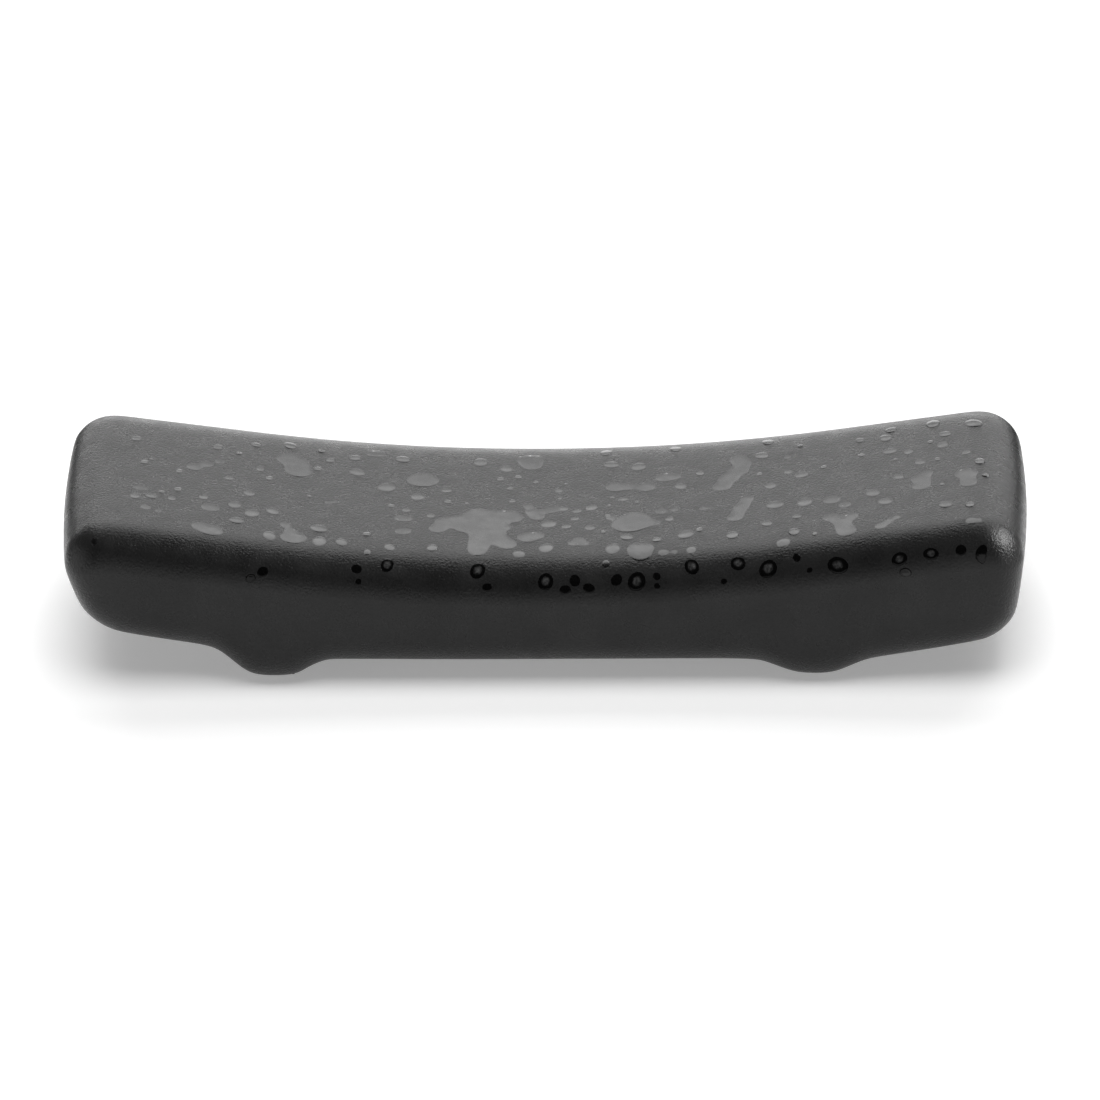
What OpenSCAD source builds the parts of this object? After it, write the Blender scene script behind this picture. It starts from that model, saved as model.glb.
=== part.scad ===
// Chopstick rest: a glazed clay bar with a hollow top, two foot ridges and raised drops of a second glaze.
// X runs along the bar, the front faces -Y, and the feet stand on Z = 0 with the origin between them.

/* [Bar] */
// Overall length
rest_l = 70; // [58:1:84]
// Depth from front to back
rest_d = 22; // [18:0.5:26]
// Height of the top at its middle
mid_h = 9.55; // [8.5:0.05:12]
// Radius of the hollow that the chopsticks lie across
saddle_r = 149; // [120:1:230]
// Length of the hollow, past which the top runs on straight to the ends
saddle_l = 42; // [30:1:46]
// Thickness of the left end
left_end_t = 8.7; // [7.5:0.1:10]
// Thickness of the right end
right_end_t = 9.85; // [8.4:0.05:11]

/* [Edges and ends] */
// Radius of the soft edges along the front and the back, and the height of the shoulders on the top
edge_r = 2.6; // [1.8:0.1:2.7]
// Depth over which the top rolls down into each shoulder
shoulder_d = 4.2; // [2.8:0.1:5.5]
// Bow of each end, seen from above
end_bow = 0.4; // [0.1:0.05:0.8]
// Radius of the upper corner at each end
upper_r = 3; // [2.8:0.1:3.6]
// Radius of the lower corner at the left end
left_heel_r = 4.9; // [3.2:0.1:5.5]
// Radius of the lower corner at the right end
right_heel_r = 3.9; // [3.2:0.1:5.5]
// Lean of the left end face, drawn in towards the foot, in degrees
left_lean = 17; // [6:1:24]
// Lean of the right end face, drawn in towards the foot, in degrees
right_lean = 5; // [3:1:20]

/* [Feet] */
// Height of the underside between the feet
under_h = 1.45; // [1:0.05:2.2]
// Distance of the left foot from the middle
left_foot_x = 19.3; // [15:0.05:22]
// Distance of the right foot from the middle
right_foot_x = 19.5; // [15:0.05:22]
// Length of the bare face that the left foot stands on
left_face_l = 2.4; // [1.4:0.1:3.2]
// Length of the bare face that the right foot stands on
right_face_l = 1.4; // [1.2:0.1:3]
// Length of the left foot's flank on the outer side
left_outer_l = 3.7; // [3:0.1:5.5]
// Length of the left foot's flank on the inner side
left_inner_l = 3.2; // [2.4:0.1:5.5]
// Length of the right foot's flank on the outer side
right_outer_l = 3.7; // [3:0.1:5.5]
// Length of the right foot's flank on the inner side
right_inner_l = 4.1; // [3:0.1:5.5]
// How far the left foot's inner flank starts as a corner, from 0 for a soft start to 1
left_corner = 0.8; // [0:0.05:1]
// Height of the line above the table to which the glaze is wiped off the feet
wipe_h = 0.2; // [0.1:0.05:0.4]

/* [Glaze] */
// Thickness of the black coat
coat_t = 0.35; // [0.2:0.05:0.6]
// Height of the pools above the coat
pool_h = 0.1; // [0.05:0.01:0.3]
// Height of a drop or a run on the top, as a share of half its width
drop_rise = 0.13; // [0.08:0.01:0.4]
// Height of a drop on the front edge, as a share of half its width
edge_rise = 0.18; // [0.08:0.01:0.4]
// Height of a fine drop, as a share of half its width
bead_rise = 0.25; // [0.1:0.01:0.5]
// Share by which a drop on the front edge has run down
edge_run = 0.12; // [0:0.01:0.4]
// Share by which a round drop is drawn out of round
drop_wobble = 0.08; // [0:0.01:0.15]

/* [Hidden] */

// Steps of the outline's stretches on one half, from the widest point of the end back to the middle
tip_steps = 1;
heel_steps = 6;
sweep_steps = 3;
flank_steps = 4;
under_steps = 2;
brow_steps = 4;
below_steps = tip_steps + heel_steps + sweep_steps + 2 * flank_steps + 1 + under_steps;
top_steps = below_steps - brow_steps;
face_step = tip_steps + heel_steps + sweep_steps + flank_steps;
// Power that draws the steps of the top together towards the ends, so that they stand over those below
top_spread = 0.7;

// Steps round each soft edge, and sides of the drops
edge_steps = 5;
run_sides = 12;
drop_sides = 8;
bead_sides = 6;
// Sides of a pool, and the further sides that each of its lobes adds
least_sides = 8;
lobe_sides = 4;

// Angle over which a pool's lobes are softened into each other
pool_soft = 7;
// Each ring of a drop has its share of the reach and of the height, from the base up to the flat crown.
drop_rings = [[1, 0], [0.68, 0.75]];
pool_rings = [[0.45, 0], [1, 0], [0.78, 0.75], [0.45, 0.97]];
drop_seed = 7;

// Least length of flat left on an end face between its two corners
least_face = 0.3;

saddle_z = mid_h + saddle_r;
brow_angle = asin(saddle_l / 2 / saddle_r);
saddle_reach = saddle_r * brow_angle * PI / 180;
corner_x = rest_l / 2 - end_bow - upper_r;
run_l = (corner_x - saddle_l / 2 - upper_r * sin(brow_angle)) / cos(brow_angle);
top_reach = saddle_reach + run_l;
corner_z = saddle_z - (saddle_r + upper_r) * cos(brow_angle) + run_l * sin(brow_angle);
half_points = 2 * (top_steps + brow_steps);
loop_points = 2 * half_points;
mid_ring = edge_steps + 1;
ring_count = 2 * mid_ring + 1;
// Each foot has the two edges of its face, the two ends of its flanks, and its corner.
function foot_places(x, face_l, outer_l, inner_l, corner) =
    [x + face_l / 2, x - face_l / 2, x + face_l / 2 + outer_l, x - face_l / 2 - inner_l, corner];
left_foot = foot_places(left_foot_x, left_face_l, left_outer_l, left_inner_l, left_corner);
right_foot = foot_places(right_foot_x, right_face_l, right_outer_l, right_inner_l, 0);

// Steps of the grid that the drops are set out on: along the bar, over the flat of the top, round a shoulder,
// and from the grid's front line back to the middle of the top
length_steps = 70.6;
flat_steps = 14;
round_steps = 5.5;
middle_step = 8.85;

// Each drop has its place along the top from the middle, its place back from the front line, then its form.
// A pool is made of lobes that have run together, each with its place from the pool's middle and its radius.
pools = [
    [-24.45, 1.2, [[0, 0, 0.8], [-0.5, 0.25, 0.7], [0.5, -0.1, 0.75]]],
    [-18.5, 12.9, [[-0.1, 0.5, 1.2], [0.4, -0.9, 1.15]]],
    [-18.2, 1.8, [[0.1, -0.35, 0.95], [-0.2, -0.5, 0.9], [-0.25, 0.5, 0.6], [-0.7, 1.3, 0.5]]],
    [-4.75, 4.9, [
        [0.05, 1.3, 1.5], [0.2, -0.65, 1.05], [-1.5, 0.4, 0.8], [-2.5, 0.4, 0.75], [-3, -0.9, 0.75],
        [2.25, 1.85, 0.8], [2.5, 1.2, 0.55], [0.05, -3, 0.9], [-0.15, -3.9, 0.7],
        [1.6, -2.1, 0.8], [2, -2.8, 0.8]
    ]],
    [-1.15, 15.3, [[0, 0, 0.9], [0.3, 0.5, 0.75], [-0.4, 0.5, 0.75], [0.1, -0.6, 0.75]]],
    [2.5, 2.5, [[0, -0.05, 0.65], [0.5, -0.25, 0.45], [-0.5, -0.2, 0.45], [0, 0.4, 0.5]]],
    [6.5, 5.25, [[0, 0, 1.4], [0.6, 0, 0.9], [-0.5, -0.3, 1.1], [0.1, 0.5, 1.1]]],
    [6.95, 0.95, [[0, 0, 0.95], [0.1, -0.4, 0.8], [-0.1, 0.5, 0.85], [0.5, 0.4, 0.6]]],
    [14, 12.5, [
        [0.1, 0, 1], [0.4, 1, 0.8], [0.1, 1.9, 0.85],
        [-0.5, -0.9, 0.8], [-0.7, -1.2, 0.85], [-1.1, -2.4, 0.85]
    ]],
    [14.3, 6.5, [
        [0.05, 0.1, 0.75], [0.25, 0.7, 0.6], [0.45, 1.35, 0.65],
        [-0.2, -0.7, 0.65], [-0.45, -1.45, 0.75]
    ]],
    [21.75, 2.35, [
        [0, 0, 0.8], [0.55, 0.8, 0.75], [-0.3, 0.5, 0.6],
        [-0.85, 1.1, 0.75], [0.1, -0.7, 0.7], [0.3, -1.35, 0.85]
    ]],
    [27.7, 7.5, [[0, 0, 0.75], [0.3, 0.95, 0.65], [-0.3, 0.3, 0.7], [-0.1, -0.9, 0.85]]],
    [31, 6.9, [[0.1, -0.3, 0.65], [-0.2, 0.7, 0.85], [0.1, 0.6, 0.8], [0.1, -0.85, 0.75]]]
];

// A run has its length, its width and its turn in degrees.
runs = [
    [-29.4, 6.3, 1.4, 1, -5], [-28.6, 3.2, 2, 1, -20], [-24.8, 11.3, 3.6, 1.35, 36],
    [-24.3, 4.5, 1.7, 1.4, 10], [-15.4, 7.5, 1.8, 0.8, 20], [-12.4, 15.9, 1.9, 1.4, 0],
    [-10.2, 5.6, 1.7, 1.2, 0], [-10.2, 3.7, 1.6, 1.2, 25], [-8.9, 11.9, 2.8, 2.3, 15],
    [-0.85, 3.35, 2.3, 1.5, 25], [-0.35, 7.35, 2.4, 1.4, 8], [5.9, 10.9, 3, 1.3, -5],
    [9.1, 12.3, 2.3, 1.6, 8], [9, 6.9, 2.1, 1.1, 5], [9.1, 0.7, 1.8, 1, 0],
    [11.9, 6.8, 1.5, 0.7, -5], [18, 14, 1.4, 0.8, 25], [21.5, 5.6, 2.9, 1.5, -48],
    [25.1, 1.7, 2.6, 1.1, 40], [31.5, 0.5, 1.6, 1, 0]
];

// A round drop has its width.
rounds = [
    [-30.1, 14, 0.9], [-29.9, 4.9, 0.95], [-28.7, 5.2, 0.95], [-27.2, 5.2, 0.8], [-24.9, 6, 0.85],
    [-24.1, 14.2, 0.85], [-23.1, 9.5, 0.8], [-22.6, 5.4, 1.25], [-22.4, 3, 1.2], [-21.6, 7.5, 1.1],
    [-21.3, 15.3, 0.8], [-21.3, 4.4, 1.4], [-20.9, 11.5, 0.8], [-19.8, 5.1, 1.2], [-19.95, 1.35, 1.15],
    [-18.8, 15.8, 1.1], [-16.3, 1.3, 1.25], [-16.4, 3.1, 1.4], [-15.8, 14.1, 0.8], [-14.7, 1.4, 1],
    [-14, 14.8, 1], [-13.8, 12.5, 1.35], [-11.6, 10.4, 1.6], [-11.2, 1.2, 0.9], [-10.5, 15.1, 1.2],
    [-10.1, 7, 0.8], [-9.3, 9.2, 1.3], [-8.3, 6.3, 0.8], [-8.1, 1.4, 0.9], [-7.2, 10.4, 0.85],
    [-4.8, 15.1, 1.35], [-2.9, 14.1, 1.15], [-1.8, 0.9, 1], [0.15, 1.65, 1.3], [0.3, 5.3, 1.4],
    [1, 10.6, 0.8], [1.3, 7.7, 1], [1.6, 4.9, 0.9], [2.2, 6.1, 0.8], [2.35, 7.3, 0.8],
    [3.3, 4.65, 1], [3.4, 7.8, 1.1], [4.4, 16.6, 1], [4.8, 14.6, 1.25], [4.5, -0.05, 0.85],
    [5, 1.4, 1.35],
    [5.7, 9, 0.8], [6, 3, 1.1], [6.8, 14.1, 1.4], [8.2, 2.4, 0.8], [9.1, 5.5, 0.8],
    [9.5, 16.7, 1], [9.9, 10.6, 1.1], [10.3, 2.9, 1.4], [10.7, 0.8, 0.9], [11.3, 12.5, 0.8],
    [13.7, 2.3, 1.15], [15.85, 14.5, 1.2], [16.2, 3.6, 1], [16.3, 16.6, 1], [16.5, 9.5, 1.1],
    [16.8, 6.4, 1.45], [17.4, 0.7, 1.2], [17.8, 11.4, 0.8], [18.2, 1.9, 1], [18.4, 4.2, 0.8],
    [18.8, 10.7, 1.15], [19, 6.3, 1.45], [23.1, 15.1, 0.8], [24, 6.4, 1.3], [24.9, 4.8, 1.25],
    [25, 14.9, 1.1], [25.3, 12.7, 1.15], [25.4, 16.1, 0.9], [25.9, 8.4, 0.95], [26.7, 12.2, 0.9],
    [27.5, 10.3, 0.95], [28.5, 16.2, 1.2], [29.2, 12.6, 1.05], [29.3, 3.1, 1.15], [29.4, 14.3, 1],
    [30.9, 10.9, 0.8], [31.1, 2.6, 0.85], [31.5, 15.5, 1.4], [31.9, 9.3, 0.95]
];

// A fine drop has its width.
beads = [
    [-29.4, 10.4, 0.7], [-28.9, 11, 0.4], [-28, 6, 0.55], [-26.8, 9.6, 0.7], [-26.8, 6.7, 0.7],
    [-22.7, 0.4, 0.45], [-22.5, 13.6, 0.55], [-20.2, 10.2, 0.7], [-17.2, 8, 0.4], [-16.7, 12.5, 0.7],
    [-16.5, 15.4, 0.6], [-12.9, 2.8, 0.7], [-12.8, 0.5, 0.7], [-11.2, 7.5, 0.65], [-7.1, 8.6, 0.7],
    [-5.7, 8.4, 0.45], [-3.3, 12.4, 0.7], [-2.6, 10.9, 0.6], [-2.4, 8.9, 0.65], [-2, 12.8, 0.65],
    [-0.7, 12, 0.55], [1.1, 9.3, 0.45], [4.3, 3.9, 0.5], [4.6, 6.4, 0.6], [4.9, 9.3, 0.45],
    [11.3, 3.5, 0.65], [15.7, 11.5, 0.6], [19.7, 1.3, 0.45], [20.4, 11.5, 0.6], [23.2, 12.6, 0.6],
    [28.3, 13.3, 0.55], [28.8, 10.4, 0.6], [29.1, 6.3, 0.45], [-32.9, -0.9, 0.75], [1.5, 11.7, 0.4],
    [6.7, 8.4, 0.45], [4.7, 8, 0.45], [18.7, 15.4, 0.5], [25.7, 11.2, 0.4], [32.3, 7.1, 0.6]
];

// A drop on the front shoulder has its width.
edge_rounds = [
    [-21, -2.65, 0.75], [-20.2, -1.95, 0.85], [-13.5, -0.95, 0.9], [-13.3, -2.05, 0.5], [-11.3, -0.45, 1.25],
    [-4.75, -0.6, 1.4], [-4.05, -2, 0.7], [0.15, -1.45, 1.35], [1.55, -2.2, 0.8], [2.25, -1.4, 0.95],
    [3.25, -2.1, 0.85], [5.25, -1.45, 0.95], [6.7, -1.65, 1.5], [8.15, -1.3, 0.65], [8.15, -2.15, 0.5],
    [10.7, -0.65, 1.35], [12.95, -2.15, 0.5], [14.05, -0.7, 1.3], [16.2, -1.35, 1.5], [18.3, -0.7, 0.9],
    [19.15, -1.9, 0.45], [21.2, -1.75, 1.55], [25.7, -1.9, 1.2], [26, -3.25, 0.9], [28, -1.8, 1.15],
    [30.2, -1.8, 0.95], [31.9, -2.45, 1.6]
];

function clamp(low, value, high) = min(high, max(low, value));
function reversed(list) = [for (i = [len(list) - 1:-1:0]) list[i]];
function ease(share) = (1 - cos(180 * clamp(0, share, 1))) / 2;
function joined(lists) = [for (list = lists) each list];

// One half of the side outline, from the middle of the top round the end to the middle of the underside.
// Each point has its place and the direction that faces out of the bar there.
function arc_points(centre, radius, from, to, steps) = [
    for (i = [1:steps])
        let (a = from + (to - from) * i / steps)
        [centre.x + radius * cos(a), centre.y + radius * sin(a), cos(a), sin(a)]
];
function heel_angle(end_t, lean, heel_r) =
    let (across = corner_x * cos(lean) + (saddle_z - corner_z) * sin(lean) + upper_r - heel_r)
    asin(across / (saddle_r + end_t - heel_r)) - lean;
function underside(x, end_t) = max(under_h, saddle_z - sqrt(pow(saddle_r + end_t, 2) - x * x));
function foot_rise(x, foot) =
    let (
        outer = clamp(0, (x - foot[0]) / (foot[2] - foot[0]), 1),
        inner = clamp(0, (foot[1] - x) / (foot[1] - foot[3]), 1)
    )
    ease(outer) + (1 - foot[4]) * ease(inner) + foot[4] * sin(90 * inner);
function under_point(x, end_t, foot, tilt) =
    [x, wipe_h + (underside(x, end_t) - wipe_h) * foot_rise(x, foot), sin(tilt), -cos(tilt)];
function under_run(from, to, end_t, foot, tilt_from, steps) = [
    for (i = [1:steps])
        under_point(from + (to - from) * i / steps, end_t, foot, tilt_from * (1 - i / steps))
];
function half_outline(end_t, lean, wanted_heel_r, foot) =
    let (
        heel_r = min(wanted_heel_r, end_t - upper_r - least_face),
        heel_a = heel_angle(end_t, lean, heel_r),
        reach = saddle_r + end_t - heel_r,
        heel_centre = [reach * sin(heel_a), saddle_z - reach * cos(heel_a)],
        sweep_x = heel_centre.x + heel_r * sin(heel_a)
    )
    concat(
        [for (i = [0:top_steps]) top_line(top_reach * pow(i / top_steps, top_spread))],
        arc_points([corner_x, corner_z], upper_r, 90 + brow_angle, 0, brow_steps),
        arc_points([corner_x, corner_z], upper_r, 0, -lean, tip_steps),
        arc_points(heel_centre, heel_r, -lean, heel_a - 90, heel_steps),
        under_run(sweep_x, foot[2], end_t, foot, heel_a, sweep_steps),
        under_run(foot[2], foot[0], end_t, foot, 0, flank_steps),
        under_run(foot[0], foot[1], end_t, foot, 0, 1),
        under_run(foot[1], foot[3], end_t, foot, 0, flank_steps),
        under_run(foot[3], 0, end_t, foot, 0, under_steps)
    );

// The line along the middle of the top, by the length of glaze from its middle: the hollow, the straight run
// and the upper corner.
function top_line(u) =
    let (
        past = abs(u) - top_reach,
        a = min(abs(u), saddle_reach) / saddle_r * 180 / PI,
        run = max(0, abs(u) - saddle_reach),
        g = 90 + brow_angle - past / upper_r * 180 / PI,
        p = past > 0
            ? [corner_x + upper_r * cos(g), corner_z + upper_r * sin(g), cos(g), sin(g)]
            : [
                saddle_r * sin(a) + run * cos(a), saddle_z - saddle_r * cos(a) + run * sin(a),
                -sin(a), cos(a)
            ]
    )
    u < 0 ? mirrored(p) : p;
function mirrored(p) = [-p[0], p[1], -p[2], p[3]];

// The whole outline, from the widest point of the left end over the top to the right end and back below.
right_half = half_outline(right_end_t, right_lean, right_heel_r, right_foot);
left_half = [for (p = half_outline(left_end_t, left_lean, left_heel_r, left_foot)) mirrored(p)];
widest = top_steps + brow_steps;
outline = concat(
    reversed([for (i = [1:widest]) left_half[i]]),
    [for (i = [0:widest + below_steps]) right_half[i]],
    reversed([for (i = [widest + 1:widest + below_steps - 1]) left_half[i]])
);

// Depth of the roll at a point of the outline: that of a shoulder on the top, and of a soft edge elsewhere.
function roll(p) = edge_r + (shoulder_d - edge_r) * max(0, p[3]);

// The skin of the bar, as rings from the front face to the back face, at a depth under the glaze.
// The middle ring is bowed out at the ends.
function skin_ring(ring, depth) =
    let (
        side = sign(ring - mid_ring),
        turn = 90 * max(0, abs(ring - mid_ring) - 1) / edge_steps,
        sink = edge_r - (edge_r - depth) * cos(turn)
    )
    [
        for (p = outline)
            let (
                inset = side == 0 ? sink - end_bow * p[2] * p[2] : sink,
                y = side * (rest_d / 2 - roll(p) + (roll(p) - depth) * sin(turn))
            )
            [p[0] - p[2] * inset, y, p[1] - p[3] * inset]
    ];
function skin(depth) = [for (ring = [0:ring_count - 1]) each skin_ring(ring, depth)];

// Faces are wound clockwise as seen from outside.
function at(ring, i) = ring * loop_points + i % loop_points;
function quad(a, b, c, d) = [[a, b, c], [a, c, d]];
windows = [half_points + face_step, loop_points - face_step - 1];
function is_window(ring, i) =
    (ring == mid_ring - 1 || ring == mid_ring) && (i == windows[0] || i == windows[1]);
function skin_sides() = [
    for (ring = [0:ring_count - 2], i = [0:loop_points - 1])
        if (!is_window(ring, i))
            each quad(at(ring, i), at(ring + 1, i), at(ring + 1, i + 1), at(ring, i + 1))
];
function ladder(ring) = [
    for (i = [0:half_points - 1])
        let (below = loop_points - i)
        each (i == 0 ? [[at(ring, 0), at(ring, 1), at(ring, below - 1)]]
            : i == half_points - 1 ? [[at(ring, i), at(ring, i + 1), at(ring, below)]]
            : quad(at(ring, i), at(ring, i + 1), at(ring, below - 1), at(ring, below)))
];
function flipped(faces) = [for (f = faces) [f[2], f[1], f[0]]];
function shifted(faces, by) = [for (f = faces) [for (i = f) i + by]];
function skin_faces() = concat(skin_sides(), ladder(0), flipped(ladder(ring_count - 1)));
function window_corners(i) = concat(
    [for (ring = [mid_ring - 1:mid_ring + 1]) at(ring, i)],
    [for (ring = [mid_ring + 1:-1:mid_ring - 1]) at(ring, i + 1)]
);

// Walls that run from one loop of corners to another.
function walls(from, to) = [
    for (i = [0:len(from) - 1])
        let (n = (i + 1) % len(from))
        each quad(from[i], from[n], to[n], to[i])
];

module clay_body() {
    clay = skin(coat_t);
    corners = [for (w = windows) window_corners(w)];
    pads = [for (loop = corners, i = loop) [clay[i].x, clay[i].y, 0]];
    first_pad = len(clay);
    pad_faces = [
        for (w = [0:1])
            let (foot = [for (i = [0:5]) first_pad + 6 * w + i])
            each concat(
                walls(corners[w], foot),
                quad(foot[0], foot[1], foot[4], foot[5]),
                quad(foot[1], foot[2], foot[3], foot[4])
            )
    ];
    color("dimgray") polyhedron(points = concat(clay, pads), faces = concat(skin_faces(), pad_faces));
}

module glaze_coat() {
    outer = skin(0);
    inner = skin(coat_t);
    size = len(outer);
    rims = [
        for (w = windows)
            let (edge = window_corners(w))
            each walls(edge, [for (i = edge) i + size])
    ];
    color("black")
        polyhedron(
            points = concat(outer, inner),
            faces = concat(skin_faces(), flipped(shifted(skin_faces(), size)), rims)
        );
}

// A place on the glaze: grid steps along the top and back from the front line, and height above the coat.
function on_glaze(u, v, h) =
    let (
        p = top_line(u / length_steps * rest_l),
        across = v - middle_step,
        turn = min(90, 90 * max(0, abs(across) - flat_steps / 2) / round_steps),
        flat_y = clamp(-1, 2 * across / flat_steps, 1) * (rest_d / 2 - roll(p)),
        y = flat_y + sign(across) * (roll(p) + h) * sin(turn),
        sink = edge_r - (edge_r + h) * cos(turn)
    )
    [p[0] - p[2] * sink, y, p[1] - p[3] * sink];

// The reach of a pool at an angle is that of its furthest lobe there, softened from side to side.
function lobe_reach(lobe, angle) =
    let (
        along = lobe[0] * cos(angle) + lobe[1] * sin(angle),
        across = lobe[1] * cos(angle) - lobe[0] * sin(angle),
        chord = lobe[2] * lobe[2] - across * across
    )
    chord > 0 ? along + sqrt(chord) : 0;
function furthest(lobes, angle) = max([for (lobe = lobes) lobe_reach(lobe, angle)]);
function pool_reach(lobes, angle) =
    let (sides = furthest(lobes, angle - pool_soft) + furthest(lobes, angle + pool_soft))
    (sides + 2 * furthest(lobes, angle)) / 4;

// Edges of the drops, as many-sided rounds whose sides touch the true edge.
function angles(sides) = [for (k = [0:sides - 1]) 360 * k / sides];
function pool_edge(d) =
    let (sides = least_sides + lobe_sides * len(d[2]), grow = 1 / cos(180 / sides))
    [for (a = angles(sides)) let (r = pool_reach(d[2], a) * grow) [r * cos(a), r * sin(a)]];
function oval_edge(length, width, turn, sides) =
    let (grow = 1 / cos(180 / sides) / 2)
    [
        for (a = angles(sides))
            let (x = length * cos(a) * grow, y = width * sin(a) * grow)
            [x * cos(turn) - y * sin(turn), x * sin(turn) + y * cos(turn)]
    ];

// One drop, from its rings, with a middle point under its base and one on its crown.
function drop_points(d, edge, height, rings) = concat(
    [on_glaze(d[0], d[1], 0)],
    [for (ring = rings, e = edge) on_glaze(d[0] + e.x * ring[0], d[1] + e.y * ring[0], height * ring[1])],
    [on_glaze(d[0], d[1], height)]
);
function drop_faces(sides, rings) =
    let (crown = 1 + sides * rings)
    concat(
        [for (k = [0:sides - 1]) [0, 1 + k, 1 + (k + 1) % sides]],
        [
            for (ring = [0:rings - 2], k = [0:sides - 1])
                let (low = 1 + ring * sides, high = low + sides, n = (k + 1) % sides)
                each quad(low + k, high + k, high + n, low + n)
        ],
        [for (k = [0:sides - 1]) let (top = crown - sides) [top + k, crown, top + (k + 1) % sides]]
    );

// A spatter of drops, each with its own edge and height.
module spatter(drops, edges, heights, rings) {
    last = len(drops) - 1;
    sizes = [for (edge = edges) 2 + len(edge) * len(rings)];
    firsts = [for (i = 0, first = 0; i <= last; first = first + sizes[i], i = i + 1) first];
    polyhedron(
        points = joined([for (i = [0:last]) drop_points(drops[i], edges[i], heights[i], rings)]),
        faces = joined([for (i = [0:last]) shifted(drop_faces(len(edges[i]), len(rings)), firsts[i])])
    );
}

// Round drops, each drawn a little out of round in a direction of its own.
module round_drops(drops, rise, sides, run_down) {
    leans = rands(0, 180, len(drops), drop_seed);
    edges = [
        for (i = [0:len(drops) - 1])
            let (width = drops[i][2])
            oval_edge(width * (1 + drop_wobble), width * (1 - drop_wobble), leans[i], sides)
    ];
    run_edges = [for (edge = edges) [for (e = edge) [e.x, e.y * (1 + run_down)]]];
    spatter(drops, run_edges, [for (d = drops) rise * d[2] / 2], drop_rings);
}

module glaze_pools() {
    color("dimgray")
        spatter(pools, [for (d = pools) pool_edge(d)], [for (d = pools) pool_h], pool_rings);
}

module glaze_runs() {
    edges = [for (d = runs) oval_edge(d[2], d[3], d[4], run_sides)];
    color("dimgray") spatter(runs, edges, [for (d = runs) drop_rise * d[3] / 2], drop_rings);
}

module top_drops() {
    color("gray") round_drops(rounds, drop_rise, drop_sides, 0);
}

module fine_drops() {
    color("gray") round_drops(beads, bead_rise, bead_sides, 0);
}

module edge_drops() {
    color("black") round_drops(edge_rounds, edge_rise, drop_sides, edge_run);
}

clay_body();
glaze_coat();
glaze_pools();
glaze_runs();
top_drops();
fine_drops();
edge_drops();
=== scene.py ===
import math

import bpy
from bpy.props import (
    FloatProperty,
    FloatVectorProperty,
    IntProperty,
    PointerProperty,
)
from mathutils import Matrix, Vector


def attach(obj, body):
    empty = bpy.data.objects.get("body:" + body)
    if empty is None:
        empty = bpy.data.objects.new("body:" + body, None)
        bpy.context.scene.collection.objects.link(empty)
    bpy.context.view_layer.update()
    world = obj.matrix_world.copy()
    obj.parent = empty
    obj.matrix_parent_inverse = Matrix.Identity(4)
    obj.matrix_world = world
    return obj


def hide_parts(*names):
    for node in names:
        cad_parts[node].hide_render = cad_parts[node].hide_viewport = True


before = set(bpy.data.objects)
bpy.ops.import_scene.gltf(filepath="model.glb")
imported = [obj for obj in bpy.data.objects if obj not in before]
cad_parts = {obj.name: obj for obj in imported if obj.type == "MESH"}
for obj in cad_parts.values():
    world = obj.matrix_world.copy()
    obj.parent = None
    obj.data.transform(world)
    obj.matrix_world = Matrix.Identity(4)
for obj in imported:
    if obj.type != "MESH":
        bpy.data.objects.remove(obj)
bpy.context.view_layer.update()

bl_info = {
    "name": "Glazed chopstick rest",
    "version": (1, 0, 0),
    "blender": (4, 5, 0),
    "location": "3D View > Sidebar > Rest",
    "description": "Dresses a packed chopstick rest in its glaze, drops and bare clay",
    "category": "Object",
}

MM = 0.001
BODY = "root"
PHOTO_SIDE = 1100

# The bar: half its length, the height of its core, and the depth past which a flat face is its
# front or its back.
HALF_LENGTH = 35 * MM
CORE_HEIGHT = 5 * MM
SIDE_DEPTH = 10 * MM

# The most that two triangles joined into one face may be folded, and that the face may be askew.
PAIR_FOLD = math.radians(60)
PAIR_SKEW = math.radians(75)

# The swelling of the upper front edge is highest at one tilt of the coat and ends at another, in
# degrees, and in the middle of the bar it has this share of its height at the ends.
BROW_TILT = 20
BROW_END = 65
MIDDLE_BROW = 0.35

# Numbers that the corners of the drops carry: how thick the glaze is, and where a painted highlight
# goes.
BODY_LAYER = "glaze_body"
PAINTED_HIGHLIGHT_LAYER = "drop_painted_highlight"

# At least this many edges meet at the crown of a thick drop.
POLE_EDGES = 8

# Pools and long drops: the height that they are let down from, the reach of a lobe for each unit
# of its radius, the share by which a long drop thins, how much body the glaze has in them, and how
# soon it gets there from the rim.
ABOVE = 15 * MM
BALL_REACH = 1.62
RUN_TAPER = 0.25
POOL_BODY = 0.68
POOL_GAIN = 2

# Sizes and depths of what the finishes show.
CLOUD_SIZE = 4 * MM
WAVE_SIZE = 1.5 * MM
ROUGH_SPREAD = 0.05
DROP_FINISH = "spattered_glaze"
DROP_CLOUD_SIZE = 0.6 * MM
MOTTLE_SIZE = 0.9 * MM
# Size of the speckles in the painted highlight of the thick edge drops, and of their bumps.
SPECKLE_SIZE = 0.25 * MM
DROP_SKIN = 0.006 * MM
GRIT_SIZE = 0.4 * MM
GRIT_DEPTH = 0.04 * MM
GRIT_SHADE = 0.45
CLAY_ROUGH = 0.9

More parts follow.
